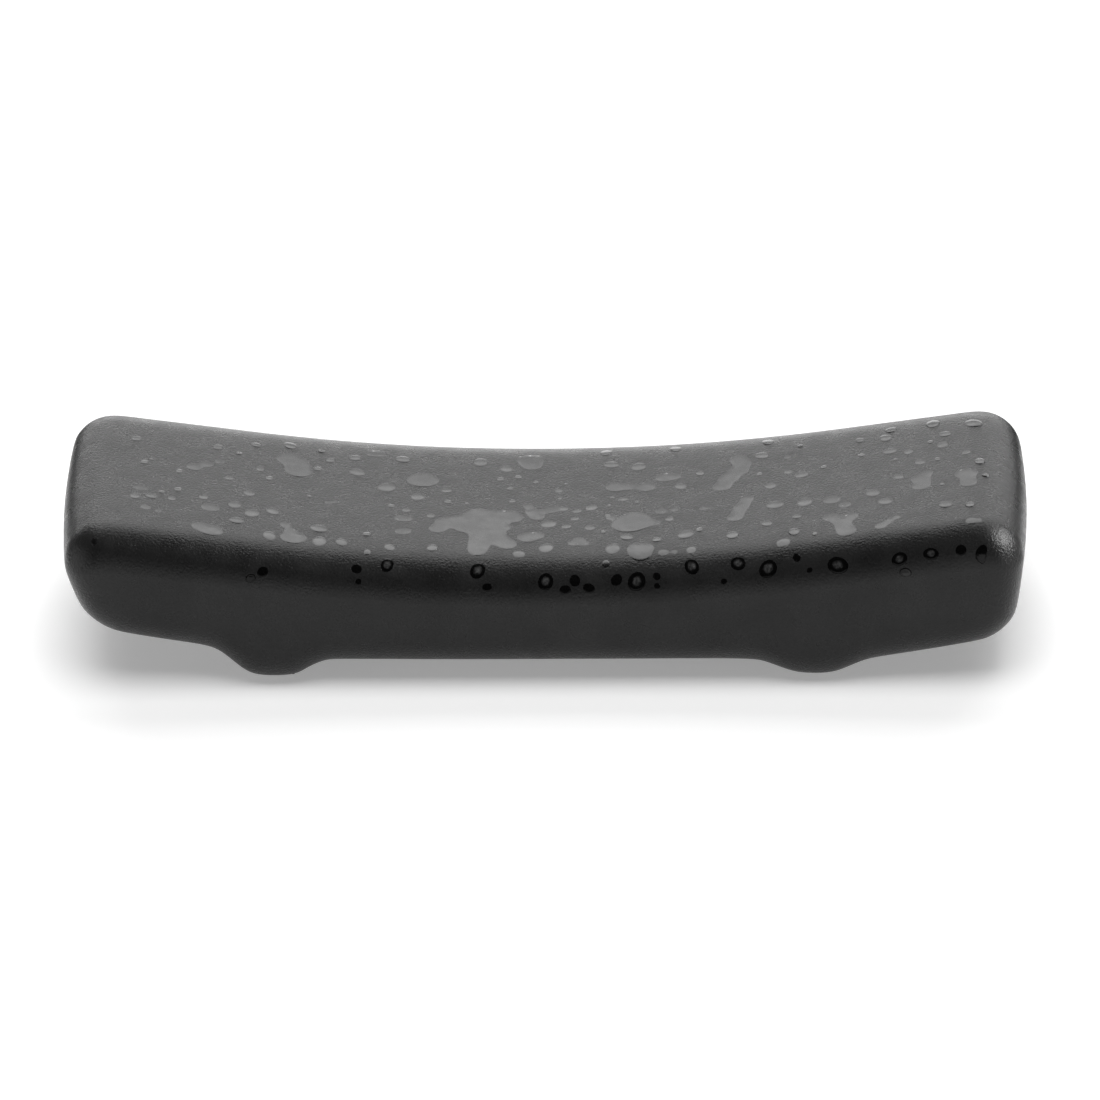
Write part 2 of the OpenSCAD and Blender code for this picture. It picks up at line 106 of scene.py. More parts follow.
# A pool has its middle on the top, in mm from the middle of the bar, and the lobes that ran
# together into it, each with its place from the pool's middle and its radius.
POOLS = (
    (-24.2, -7.5, ((0, 0, 0.8), (-0.6, 0.35, 0.65), (0.55, -0.1, 0.7))),
    (-18.3, 3.9, ((-0.5, 0.7, 0.85), (-0.2, 1.2, 0.7), (0.3, 0.3, 1.05), (0.4, -0.9, 1.1))),
    (-18, -6.8, ((0.2, -0.4, 0.85), (-0.25, -0.5, 0.8), (-0.25, 0.5, 0.55), (-0.65, 1.3, 0.5))),
    (-4.7, -3.8, (
        (0, 1.3, 1.45), (0.2, -0.6, 1.05), (-1.4, 0.5, 1), (-2.4, 0.4, 0.95), (-3, -0.6, 0.75),
        (1.2, 1.4, 0.95), (2.2, 1.7, 0.95), (2.5, 1.2, 0.65), (0.1, -1.9, 0.95), (0, -3, 0.9),
        (-0.1, -3.8, 0.7), (1.5, -2, 0.85), (2, -2.7, 0.85), (1, -1.2, 0.85), (-1, -0.3, 0.9),
        (1.4, -0.1, 1))),
    (-1.1, 6.2, ((0, 0, 0.9), (0.3, 0.5, 0.75), (-0.4, 0.5, 0.75), (0.1, -0.6, 0.75))),
    (2.5, -6.2, ((0, -0.05, 0.6), (0.5, -0.25, 0.4), (-0.5, -0.2, 0.4), (0, 0.4, 0.45))),
    (6.4, -3.5, (
        (0, 0, 1.35), (0.7, 0, 0.85), (-0.5, -0.3, 1.1), (0.1, 0.5, 1.05), (-1.6, 0.9, 0.5),
        (1.6, -0.2, 0.5))),
    (6.9, -7.8, ((0, 0, 0.9), (0.1, -0.4, 0.75), (-0.1, 0.5, 0.8), (0.5, 0.4, 0.6))),
    (13.9, 3.5, (
        (0.1, 0, 0.9), (0.4, 1, 0.75), (0.1, 1.8, 0.8), (-0.5, -0.9, 0.75), (-0.7, -1.3, 0.8),
        (-1.1, -2.3, 0.8))),
    (14.2, -2.3, (
        (0, 0.1, 0.7), (0.25, 0.7, 0.55), (0.45, 1.3, 0.6), (-0.2, -0.7, 0.6), (-0.45, -1.4, 0.7))),
    (21.5, -6.3, (
        (0, 0, 0.75), (0.55, 0.8, 0.7), (-0.3, 0.5, 0.55), (-0.85, 1, 0.7), (0.1, -0.7, 0.65),
        (0.3, -1.3, 0.8))),
    (27.3, -1.3, ((0, 0, 0.7), (0.3, 0.9, 0.6), (-0.3, 0.3, 0.65), (-0.1, -0.9, 0.8))),
    (30.5, -1.9, ((0.1, -0.3, 0.6), (-0.2, 0.7, 0.8), (0.1, 0.6, 0.75), (0.1, -0.8, 0.7))),
)

# A long drop has its middle on the top, its length, its width and its turn in degrees.
RUNS = (
    (-29, -2.5, 1.4, 1, -5), (-28.2, -5.5, 2, 1, -20), (-24.5, 2.4, 3.6, 1.35, 36),
    (-24, -4.2, 1.7, 1.4, 10), (-15.2, -1.3, 1.8, 0.8, 20), (-12.3, 6.8, 1.9, 1.4, 0),
    (-10.1, -3.1, 1.7, 1.2, 0), (-10.1, -5, 1.6, 1.2, 25), (-8.8, 3, 2.8, 2.3, 15),
    (-0.85, -5.3, 2.5, 1.7, 25), (-0.35, -1.5, 2.4, 1.4, 8), (5.6, 2.1, 2.7, 1.7, -2),
    (9, 3.3, 2.3, 1.6, 8), (8.9, -1.9, 2.1, 1.1, 5), (9, -8.1, 1.8, 1, 0), (11.8, -2, 1.5, 0.7, -5),
    (17.8, 5, 1.4, 0.8, 25), (21.2, -3.1, 2.9, 1.5, -48), (24.8, -7, 2.6, 1.1, 40),
    (31, -8.4, 1.6, 1, 0),
)

# Small lobes at the sides of the long drops, each with its place and its radius.
SPURS = ((-1.2, -0.7, 0.5), (0.75, -1.15, 0.6), (-0.55, -2.3, 0.65), (7.3, 1.9, 0.8))

# A lamp has its distance from the rest, its turn from straight behind towards the right and its
# height in degrees, its width and height, and the setting that gives its brightness, with its share.
LAMPS = (
    ("softbox", (0.7, 4, 47), (0.78, 0.51), "box_light", 1),
    ("back_screen", (0.8, 0, 20), (1.2, 0.196), "back_light", 1),
    ("low_strip", (0.8, 0, 6.5), (1.24, 0.183), "low_light", 1),
    ("low_middle", (0.79, 0, 6), (0.5, 0.16), "low_light", 0.4),
    ("side_window", (0.7, 81, 35), (0.46, 0.42), "side_light", 1),
    ("fill_light", (0.8, 180, 78), (0.6, 0.6), "fill_light", 1),
    ("front_wall", (0.8, 180, 12.5), (1, 0.37), "front_light", 1),
    ("left_wall", (0.8, -100, 10), (0.8, 0.36), "wall_light", 1),
    ("right_wall", (0.8, 108, 8), (0.7, 0.34), "wall_light", 1),
)
ONLY_IN_GLOSS = "side_window"
NEVER_IN_GLOSS = "fill_light"

# A black card has its middle on the table, its size and its turn in degrees.
CARDS = (
    ("card_left", (-0.116, 0.086), (0.08, 0.18), 45),
    ("card_right", (0.095, 0.091), (0.07, 0.16), -35),
)
CARD_HEIGHT = 0.4 * MM
CARD_COLOUR = (0.02, 0.02, 0.02, 1)
TABLE_SIDE = 6


class RestGlazeSettings(bpy.types.PropertyGroup):
    """Colours and surface of the clay, the coat and the drops."""

    coat_colour: FloatVectorProperty(
        name="Coat colour", description="Colour of the black coat",
        subtype="COLOR", size=4, min=0, max=1, default=(0.009, 0.009, 0.009, 1))
    coat_pale: FloatVectorProperty(
        name="Coat pale colour", description="Colour where the coat is thin",
        subtype="COLOR", size=4, min=0, max=1, default=(0.014, 0.014, 0.014, 1))
    coat_rough: FloatProperty(
        name="Coat roughness", description="Mean roughness of the satin coat",
        subtype="FACTOR", min=0, max=1, default=0.29)
    coat_ior: FloatProperty(
        name="Coat index", description="Index of refraction of the coat",
        min=1, max=3, default=1.335)
    drop_colour: FloatVectorProperty(
        name="Drop colour", description="Colour of the second glaze",
        subtype="COLOR", size=4, min=0, max=1, default=(0.0015, 0.0015, 0.0015, 1))
    drop_pale: FloatVectorProperty(
        name="Drop pale colour", description="Colour where the second glaze is thin",
        subtype="COLOR", size=4, min=0, max=1, default=(0.0035, 0.0035, 0.0035, 1))
    # Painted highlight: a pale base colour in the middle of the thick drops on the front edge.
    painted_highlight_colour: FloatVectorProperty(
        name="Painted highlight colour", description="Colour of the painted highlight in the middle of the thick drops",
        subtype="COLOR", size=4, min=0, max=1, default=(0.05, 0.05, 0.05, 1))
    drop_rough: FloatProperty(
        name="Drop roughness", description="Mean roughness of the drops",
        subtype="FACTOR", min=0, max=1, default=0.2)
    drop_ior: FloatProperty(
        name="Drop index", description="Index of refraction of the drops",
        min=1, max=3, default=1.68)
    edge_ior: FloatProperty(
        name="Edge index", description="Index of refraction of the drops on the front edge",
        min=1, max=3, default=1.42)
    edge_rough: FloatProperty(
        name="Edge roughness", description="Mean roughness of the thick drops on the front edge",
        subtype="FACTOR", min=0, max=1, default=0.12)
    clay_colour: FloatVectorProperty(
        name="Clay colour", description="Colour of the bare fired clay",
        subtype="COLOR", size=4, min=0, max=1, default=(0.13, 0.115, 0.1, 1))
    grain_size: FloatProperty(
        name="Grain size", description="Size of the fine grain in the coat",
        subtype="DISTANCE", unit="LENGTH", min=1e-5, max=0.01, default=0.00017)
    grain_depth: FloatProperty(
        name="Grain depth", description="Depth of the fine grain in the coat",
        subtype="DISTANCE", unit="LENGTH", min=0, max=0.001, default=0.00005)


class RestFormSettings(bpy.types.PropertyGroup):
    """How finely the pieces are shaped."""

    coat_levels: IntProperty(
        name="Coat levels", description="Subdivision levels of the coat", min=0, max=3, default=2)
    drop_levels: IntProperty(
        name="Drop levels", description="Subdivision levels of the small drops",
        min=0, max=3, default=1)
    edge_levels: IntProperty(
        name="Edge levels", description="Subdivision levels of the drops on the front edge",
        min=0, max=3, default=2)
    sink_depth: FloatProperty(
        name="Sink depth", description="Depth to which the drops reach into the coat",
        subtype="DISTANCE", unit="LENGTH", min=0, max=0.001, default=0.000004)
    flatten: FloatProperty(
        name="Flatten", description="Share by which the drops on the top are let down",
        subtype="FACTOR", min=0, max=1, default=0.5)
    edge_flatten: FloatProperty(
        name="Edge flatten", description="Share by which the drops on the front edge are let down",
        subtype="FACTOR", min=0, max=1, default=0.84)
    pool_rise: FloatProperty(
        name="Pool rise", description="Height of the pools over the coat",
        subtype="DISTANCE", unit="LENGTH", min=0, max=0.001, default=0.000024)
    blob_step: FloatProperty(
        name="Blob step", description="Fineness of the pools and the long drops",
        subtype="DISTANCE", unit="LENGTH", min=0.00005, max=0.001, default=0.00013)
    blob_slope: FloatProperty(
        name="Blob slope", description="Distance within which a pool rises to its full height",
        subtype="DISTANCE", unit="LENGTH", min=0.0001, max=0.002, default=0.0006)
    lean: FloatProperty(
        name="Lean",
        description="Distance by which the crowns of the drops have crept towards the front",
        subtype="DISTANCE", unit="LENGTH", min=0, max=0.001, default=0.00009)
    slant: FloatProperty(
        name="Slant",
        description="Share by which the back of a pool is flatter and its front is steeper",
        subtype="FACTOR", min=0, max=1, default=0.45)
    # Painted highlight: how large a thick drop must be to get one.
    painted_highlight_reach: FloatProperty(
        name="Painted highlight reach", description="Radius past which a thick drop has a pale middle",
        subtype="DISTANCE", unit="LENGTH", min=0, max=0.01, default=0.00036)
    brow_rise: FloatProperty(
        name="Brow rise",
        description="Height of the swelling along the upper front edge, in the middle of the bar",
        subtype="DISTANCE", unit="LENGTH", min=0, max=0.001, default=0.00008)
    side_border: FloatProperty(
        name="Side border", description="Width of the border round the flat front and back",
        subtype="DISTANCE", unit="LENGTH", min=0, max=0.002, default=0.00025)
    sharp_angle: FloatProperty(
        name="Sharp angle", description="Angle past which an edge stays sharp",
        subtype="ANGLE", unit="ROTATION", default=math.radians(60))
    merge_gap: FloatProperty(
        name="Merge gap", description="Distance under which corners are merged",
        subtype="DISTANCE", unit="LENGTH", min=0, max=0.001, default=2e-6)


class RestStageSettings(bpy.types.PropertyGroup):
    """Camera, floor and light."""

    view_height: FloatProperty(
        name="View height", description="Elevation of the camera above the table",
        subtype="ANGLE", unit="ROTATION", default=math.radians(28))
    view_turn: FloatProperty(
        name="View turn", description="Turn of the camera round the rest",
        subtype="ANGLE", unit="ROTATION", default=math.radians(1))
    view_roll: FloatProperty(
        name="View roll", description="Tilt of the camera about its own line of sight",
        subtype="ANGLE", unit="ROTATION", default=math.radians(-0.74))
    view_distance: FloatProperty(
        name="View distance", description="Distance of the camera from the rest",
        subtype="DISTANCE", unit="LENGTH", default=1.15)
    focal_pixels: FloatProperty(
        name="Focal length", description="Focal length in pixels of the photograph's frame",
        default=15870)
    view_centre: FloatVectorProperty(
        name="View centre", description="Point of the rest that the camera is aimed by",
        subtype="TRANSLATION", unit="LENGTH", size=3, default=(0, 0, 0.0062))
    centre_pixel: FloatVectorProperty(
        name="Centre pixel", description="Pixel at which the view centre is seen",
        size=2, default=(545.6, 542.5))
    floor_colour: FloatVectorProperty(
        name="Floor colour", description="Colour of the table",
        subtype="COLOR", size=4, min=0, max=1, default=(0.85, 0.85, 0.85, 1))
    floor_glow: FloatProperty(
        name="Floor glow",
        description="Light that the floor adds to the picture and to reflections",
        min=0, max=1, default=0.28)
    room_grey: FloatProperty(
        name="Room grey", description="Brightness of the room", min=0, max=1, default=0.02)
    box_light: FloatProperty(
        name="Softbox", description="Brightness of the softbox behind", min=0, default=2.7)
    back_light: FloatProperty(
        name="Back screen", description="Brightness of the screen behind", min=0, default=0.8)
    low_light: FloatProperty(
        name="Low strip", description="Brightness of the strip along the far edge of the table",
        min=0, default=2.1)
    side_light: FloatProperty(
        name="Side window", description="Brightness of the window on the right",
        min=0, default=14.5)
    fill_light: FloatProperty(
        name="Fill light", description="Brightness of the soft light overhead", min=0, default=4)
    front_light: FloatProperty(
        name="Front wall", description="Brightness of the wall behind the camera",
        min=0, default=0.6)
    wall_light: FloatProperty(
        name="Side walls", description="Brightness of the walls on the left and the right",
        min=0, default=1.3)


def glaze():
    return bpy.context.scene.rest_glaze


def form():
    return bpy.context.scene.rest_form


def stage_settings():
    return bpy.context.scene.rest_stage


def only(obj):
    """Selects one object alone and makes it active."""
    if bpy.context.object and bpy.context.object.mode != "OBJECT":
        bpy.ops.object.mode_set(mode="OBJECT")
    bpy.ops.object.select_all(action="DESELECT")
    obj.select_set(True)
    bpy.context.view_layer.objects.active = obj


def copy_of_node(node, name):
    """A merged copy of a CAD node's mesh as a new object."""
    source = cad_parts[node]
    piece = bpy.data.objects.new(name, source.data.copy())
    bpy.context.scene.collection.objects.link(piece)
    piece.data.materials.clear()
    only(piece)
    bpy.ops.object.mode_set(mode="EDIT")
    bpy.ops.mesh.select_all(action="SELECT")
    bpy.ops.mesh.remove_doubles(threshold=form().merge_gap)
    bpy.ops.object.mode_set(mode="OBJECT")
    return piece


def pair_triangles(piece, wanted):
    """Joins triangles that lie side by side into four-sided faces."""
    edit_faces(piece, wanted)
    bpy.ops.mesh.tris_convert_to_quads(face_threshold=PAIR_FOLD, shape_threshold=PAIR_SKEW)
    bpy.ops.object.mode_set(mode="OBJECT")


def keep_rims(piece):
    """Creases the sharp rims of a piece, so that they stay where they are while it is rounded."""
    only(piece)
    bpy.ops.object.mode_set(mode="EDIT")
    bpy.ops.mesh.select_mode(type="EDGE")
    bpy.ops.mesh.select_all(action="DESELECT")
    bpy.ops.mesh.edges_select_sharp(sharpness=form().sharp_angle)
    bpy.ops.transform.edge_crease(value=1)
    bpy.ops.object.mode_set(mode="OBJECT")


def edit_faces(piece, wanted):
    """Opens a piece in edit mode with only the wanted faces selected."""
    only(piece)
    mesh = piece.data
    for items in (mesh.vertices, mesh.edges, mesh.polygons):
        items.foreach_set("select", [False] * len(items))
    for face in mesh.polygons:
        face.select = wanted(mesh, face)
    bpy.ops.object.mode_set(mode="EDIT")
    bpy.ops.mesh.select_mode(type="FACE")


def faces_inward(mesh, face):
    """Whether a drop's face looks into the bar, as its underside does."""
    inward = Vector((0, -face.center.y, CORE_HEIGHT - face.center.z))
    return face.normal.dot(inward) > 0


def weigh(piece, flatten):
    """Marks the rims and the crowns of the drops, how thick the glaze is, and where a painted
    highlight goes.
    """
    mesh = piece.data
    under = {i for face in mesh.polygons if faces_inward(mesh, face) for i in face.vertices}
    crowns = [v.index for v in mesh.vertices if v.index not in under]
    piece.vertex_groups.new(name="rim").add(sorted(under), 1, "REPLACE")
    piece.vertex_groups.new(name="crown").add(crowns, flatten, "REPLACE")
    spread = {i: [] for i in crowns}
    for edge in mesh.edges:
        a, b = edge.vertices
        length = (mesh.vertices[a].co - mesh.vertices[b].co).length
        for i in spread.keys() & {a, b}:
            spread[i].append(length)
    body = [1.0 if i in spread else 0.0 for i in range(len(mesh.vertices))]
    # The crowns of the large thick drops get a painted highlight.
    highlight_share = [0.0] * len(body)
    for i, lengths in spread.items():
        if len(lengths) >= POLE_EDGES and min(lengths) > form().painted_highlight_reach:
            highlight_share[i] = 1.0
    mesh.attributes.new(BODY_LAYER, "FLOAT", "POINT").data.foreach_set("value", body)
    mesh.attributes.new(PAINTED_HIGHLIGHT_LAYER, "FLOAT", "POINT").data.foreach_set("value", highlight_share)


def lean_crowns(piece, distance):
    """Moves the crowns of the drops a little towards the front."""
    only(piece)
    piece.vertex_groups.active_index = piece.vertex_groups["crown"].index
    bpy.ops.object.mode_set(mode="EDIT")
    bpy.ops.mesh.select_mode(type="VERT")
    bpy.ops.mesh.select_all(action="DESELECT")
    bpy.ops.object.vertex_group_select()
    bpy.ops.transform.translate(value=(0, -distance, 0))
    bpy.ops.object.mode_set(mode="OBJECT")


def lay_on_coat(piece, name, mode, offset):
    """Draws the drops on to the dressed coat, by the weights of a vertex group."""
    only(piece)
    press = piece.modifiers.new(name, "SHRINKWRAP")
    press.target = bpy.data.objects["coat"]
    press.wrap_method = "NEAREST_SURFACEPOINT"
    press.wrap_mode = mode
    press.offset = offset
    press.vertex_group = name
    bpy.ops.object.modifier_apply(modifier=press.name)


def lies_on_side(mesh, face):
    """Whether a face is part of the flat front or back."""
    depths = [mesh.vertices[i].co.y for i in face.vertices]
    return max(depths) - min(depths) < form().merge_gap and abs(depths[0]) > SIDE_DEPTH


def any_face(mesh, face):
    return True


def open_sides(piece):
    """Gives the flat front and back a narrow border and takes out the rest of them."""
    edit_faces(piece, lies_on_side)
    bpy.ops.mesh.inset(thickness=form().side_border, depth=0)
    bpy.ops.mesh.delete(type="FACE")
    bpy.ops.object.mode_set(mode="OBJECT")


def many_sided(mesh, face):
    return len(face.vertices) > 4


def close_sides(piece):
    """Fills each flat side again with plain flat triangles."""
    only(piece)
    bpy.ops.object.mode_set(mode="EDIT")
    bpy.ops.mesh.select_all(action="SELECT")
    bpy.ops.mesh.fill_holes(sides=0)
    edit_faces(piece, many_sided)
    bpy.ops.mesh.quads_convert_to_tris(quad_method="BEAUTY", ngon_method="BEAUTY")
    bpy.ops.object.mode_set(mode="OBJECT")


def brow_share(normal):
    """How much of the swelling of the front edge there is where the coat faces this way."""
    if normal.z <= 0 or normal.y >= 0:
        return 0
    tilt = math.degrees(math.atan2(-normal.y, normal.z))
    rise = min(1, tilt / BROW_TILT)
    fall = min(1, max(0, (BROW_END - tilt) / (BROW_END - BROW_TILT)))
    return rise * rise * (3 - 2 * rise) * fall * fall * (3 - 2 * fall) * (1 - abs(normal.x))


def swell_brow(piece):
    """Swells the upper front edge, so that the top turns down there more sharply."""
    only(piece)
    brow = piece.vertex_groups.new(name="brow")
    for corner in piece.data.vertices:
        outward = (corner.co.x / HALF_LENGTH) ** 2
        share = brow_share(corner.normal) * (MIDDLE_BROW + (1 - MIDDLE_BROW) * outward)
        if share > 0:
            brow.add([corner.index], share, "REPLACE")
    swell = piece.modifiers.new("swell", "DISPLACE")
    swell.strength = form().brow_rise / MIDDLE_BROW
    swell.mid_level = 0
    swell.vertex_group = brow.name
    bpy.ops.object.modifier_apply(modifier=swell.name)
    piece.vertex_groups.clear()


def shade(piece):
    """Shades a piece smooth, but for its sharp rims."""
    only(piece)
    bpy.ops.object.shade_smooth_by_angle(angle=form().sharp_angle)


def smooth(piece, levels):
    """Rounds a piece off by subdivision."""
    only(piece)
    rounder = piece.modifiers.new("rounder", "SUBSURF")
    rounder.levels = levels
    rounder.render_levels = levels
    rounder.boundary_smooth = "PRESERVE_CORNERS"
    bpy.ops.object.modifier_apply(modifier=rounder.name)


class Finish:
    """A procedural material that is put together node by node."""

    def __init__(self, name):
        self.material = bpy.data.materials.new(name)
        self.material.use_nodes = True
        self.tree = self.material.node_tree
        self.shader = self.tree.nodes["Principled BSDF"]
        self.place = self.node("ShaderNodeTexCoord").outputs["Object"]

    def node(self, kind, **values):
        made = self.tree.nodes.new(kind)
        for name, value in values.items():
            setattr(made, name, value)
        return made

    def link(self, source, socket):
        self.tree.links.new(source, socket)

    def feed(self, **sources):
        """Links sources to sockets of the shader, which are named with _ for each space."""
        for name, source in sources.items():
            self.link(source, self.shader.inputs[name.replace("_", " ")])

    def layer(self, name):
        """A number that the corners of the piece carry."""
        return self.node("ShaderNodeAttribute", attribute_name=name).outputs["Fac"]

    def noise(self, size, detail, rough):
        """Noise whose features are about size metres across."""
        made = self.node("ShaderNodeTexNoise")
        made.inputs["Scale"].default_value = 1 / size
        made.inputs["Detail"].default_value = detail
        made.inputs["Roughness"].default_value = rough
        self.link(self.place, made.inputs["Vector"])
        return made.outputs["Fac"]

    def ranged(self, value, low, high, to_low=0, to_high=1):
        """A value that goes from one range to another, and no further."""
        made = self.node("ShaderNodeMapRange")
        made.inputs["From Min"].default_value = low
        made.inputs["From Max"].default_value = high
        made.inputs["To Min"].default_value = to_low
        made.inputs["To Max"].default_value = to_high
        self.link(value, made.inputs["Value"])
        return made.outputs["Result"]

    def times(self, first, second):
        made = self.node("ShaderNodeMath", operation="MULTIPLY")
        self.link(first, made.inputs[0])
        self.link(second, made.inputs[1])
        return made.outputs[0]

    def blend(self, share, first, second):
        """A colour between two, by a share."""
        made = self.node("ShaderNodeMix", data_type="RGBA")
        self.link(share, made.inputs["Factor"])
        for socket, colour in ((made.inputs["A"], first), (made.inputs["B"], second)):
            if isinstance(colour, bpy.types.NodeSocket):
                self.link(colour, socket)
            else:
                socket.default_value = colour
        return made.outputs["Result"]

    def bump(self, height, depth, below=None):
        """Unevenness of a depth in metres, over another one where there is one below."""
        made = self.node("ShaderNodeBump")
        made.inputs["Distance"].default_value = depth
        made.inputs["Strength"].default_value = 1
        self.link(height, made.inputs["Height"])
        if below is not None:
            self.link(below, made.inputs["Normal"])
        return made.outputs["Normal"]


def coat_finish():
    """Satin black glaze with a fine grain."""
    g = glaze()
    f = Finish("satin_black_glaze")
    grain = f.noise(g.grain_size, 2, 0.6)
    cloud = f.noise(CLOUD_SIZE, 3, 0.55)
    wave = f.noise(WAVE_SIZE, 2, 0.5)
    f.shader.inputs["IOR"].default_value = g.coat_ior
    f.feed(
        Base_Color=f.blend(f.ranged(cloud, 0.35, 0.7), g.coat_colour, g.coat_pale),
        Roughness=f.ranged(
            wave, 0.3, 0.7, g.coat_rough - ROUGH_SPREAD, g.coat_rough + ROUGH_SPREAD),
        Normal=f.bump(grain, g.grain_depth, below=f.bump(wave, g.grain_depth / 2)))
    return f.material


def drop_finish():
    """Glossier, mottled glaze of the drops, which turns into the coat where it is thin."""
    g = glaze()
    f = Finish(DROP_FINISH)
    cloud = f.noise(DROP_CLOUD_SIZE, 2, 0.5)
    mottle = f.ranged(f.noise(MOTTLE_SIZE, 3, 0.6), 0.38, 0.62, 0.72, 1)
    body = f.times(f.ranged(f.layer(BODY_LAYER), 0.12, 0.9), mottle)
    dark = f.blend(f.ranged(cloud, 0.35, 0.7), g.drop_colour, g.drop_pale)
    f.feed(
        Base_Color=f.blend(body, g.coat_colour, dark),
        Roughness=f.ranged(body, 0, 1, g.coat_rough, g.drop_rough),
        IOR=f.ranged(body, 0, 1, g.coat_ior, g.drop_ior),
        Normal=f.bump(cloud, DROP_SKIN))
    return f.material


def edge_finish():
    """Thick, glossy, deep black glaze of the drops on the front edge, with a speckled painted
    highlight in the middle of the thick ones.
    """
    g = glaze()
    f = Finish("edge_glaze")
    # Painted highlight: the base colour turns pale and the roughness rises in the middle of the
    # thick drops, broken into speckles by noise that also bumps the surface.
    speckle = f.noise(SPECKLE_SIZE, 3, 0.6)
    highlight_share = f.ranged(f.layer(PAINTED_HIGHLIGHT_LAYER), 0.15, 0.6)
    pale = f.times(highlight_share, f.ranged(speckle, 0.35, 0.65, 0.2, 1))
    f.shader.inputs["IOR"].default_value = g.edge_ior
    f.feed(
        Base_Color=f.blend(pale, g.drop_colour, g.painted_highlight_colour),
        Roughness=f.ranged(pale, 0, 1, g.edge_rough, g.coat_rough),
        Specular_IOR_Level=f.ranged(f.layer(BODY_LAYER), 0.1, 0.8, 0, 0.5),
        Normal=f.bump(speckle, DROP_SKIN))
    return f.material


def clay_finish():
    """Bare fired clay with dark grit."""
    g = glaze()
    f = Finish("bare_fired_clay")
    grit = f.noise(GRIT_SIZE, 4, 0.65)
    dark = tuple(c * GRIT_SHADE for c in g.clay_colour[:3]) + (1,)
    f.shader.inputs["Roughness"].default_value = CLAY_ROUGH
    f.feed(
        Base_Color=f.blend(f.ranged(grit, 0.35, 0.6), dark, g.clay_colour),
        Normal=f.bump(grit, GRIT_DEPTH))
    return f.material


def shared_drop_finish():
    """The finish that the pools, the long drops and the drops on the top have in common."""
    return bpy.data.materials.get(DROP_FINISH) or drop_finish()


def settle(piece, node, material):
    """Gives a piece its finish, sets it on the rest and lets it stand for its node."""
    piece.data.materials.append(material)
    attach(piece, BODY)
    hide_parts(node)


class REST_OT_coat(bpy.types.Operator):
    """Makes the black coat over the bar"""

    bl_idname = "rest.coat"
    bl_label = "Glaze coat"

    def execute(self, context):
        piece = copy_of_node("glaze_coat", "coat")
        open_sides(piece)
        pair_triangles(piece, any_face)
        keep_rims(piece)
        smooth(piece, form().coat_levels)
        swell_brow(piece)
        close_sides(piece)
        shade(piece)
        settle(piece, "glaze_coat", coat_finish())
        return {"FINISHED"}


class REST_OT_clay(bpy.types.Operator):
    """Finishes the bare clay that shows under the feet"""

    bl_idname = "rest.clay"
    bl_label = "Bare clay"

    def execute(self, context):
        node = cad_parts["clay_body"]
        node.data.materials.clear()
        node.data.materials.append(clay_finish())
        return {"FINISHED"}


def make_drops(node, name, levels, flatten, lean, finish):
    """Dresses one spatter: rounded, let down to thin lenses and laid on the coat."""
    piece = copy_of_node(node, name)
    weigh(piece, flatten)
    lean_crowns(piece, lean)
    pair_triangles(piece, any_face)
    keep_rims(piece)
    smooth(piece, levels)
    lay_on_coat(piece, "crown", "ON_SURFACE", 0)
    lay_on_coat(piece, "rim", "ABOVE_SURFACE", -form().sink_depth)
    piece.vertex_groups.clear()
    shade(piece)
    settle(piece, node, finish)


def add_blobs(name, blobs):
    """Round blobs, in mm, that run together where they meet, flat and weighted by their height."""
    data = bpy.data.metaballs.new(name + "_lobes")
    data.resolution = form().blob_step / MM
    piece = bpy.data.objects.new(name + "_lobes", data)
    bpy.context.scene.collection.objects.link(piece)
    for x, y, radius in blobs:
        ball = data.elements.new(type="BALL")
        ball.co = (x, y, 0)
        ball.radius = radius * BALL_REACH
    only(piece)
    bpy.ops.object.convert(target="MESH")
    piece = bpy.context.object
    piece.name = name
    heights = []
    for corner in piece.data.vertices:
        reach = form().blob_slope * (1 + form().slant * corner.normal.y)
        heights.append(min(1, max(0, corner.co.z * MM / reach) ** 2))
    rise = piece.vertex_groups.new(name="rise")
    for i, height in enumerate(heights):
        rise.add([i], height, "REPLACE")
    body = [min(POOL_BODY, POOL_GAIN * height) for height in heights]
    piece.data.attributes.new(BODY_LAYER, "FLOAT", "POINT").data.foreach_set("value", body)
    piece.scale = (MM, MM, MM * MM)
    piece.location = (0, 0, ABOVE)
    bpy.ops.object.transform_apply(location=True, rotation=True, scale=True)
    return piece


def drop_on_coat(piece):
    """Lowers a flat piece straight down on to the dressed coat."""
    only(piece)
    fall = piece.modifiers.new("fall", "SHRINKWRAP")
    fall.target = bpy.data.objects["coat"]
    fall.wrap_method = "PROJECT"
    fall.use_project_z = True
    fall.use_negative_direction = True
    fall.use_positive_direction = False
    fall.offset = -form().sink_depth
    bpy.ops.object.modifier_apply(modifier=fall.name)


def lay_blobs(name, blobs, node):
    """Makes a piece of flat blobs of the second glaze in place of a node."""
    piece = add_blobs(name, blobs)
    drop_on_coat(piece)
    lay_on_coat(piece, "rise", "ABOVE_SURFACE", form().pool_rise)
    piece.vertex_groups.clear()
    shade(piece)
    settle(piece, node, shared_drop_finish())


def run_lobes(x, y, length, width, turn):
    """The lobes of a long drop, from its thick end to its thin one."""
    reach = (length - width) / 2
    along = Vector((math.cos(math.radians(turn)), math.sin(math.radians(turn))))
    count = 2 + round(reach / width)
    for i in range(count):
        share = i / (count - 1)
        place = Vector((x, y)) + along * reach * (2 * share - 1)
        yield place.x, place.y, width / 2 * (1 - RUN_TAPER * share)


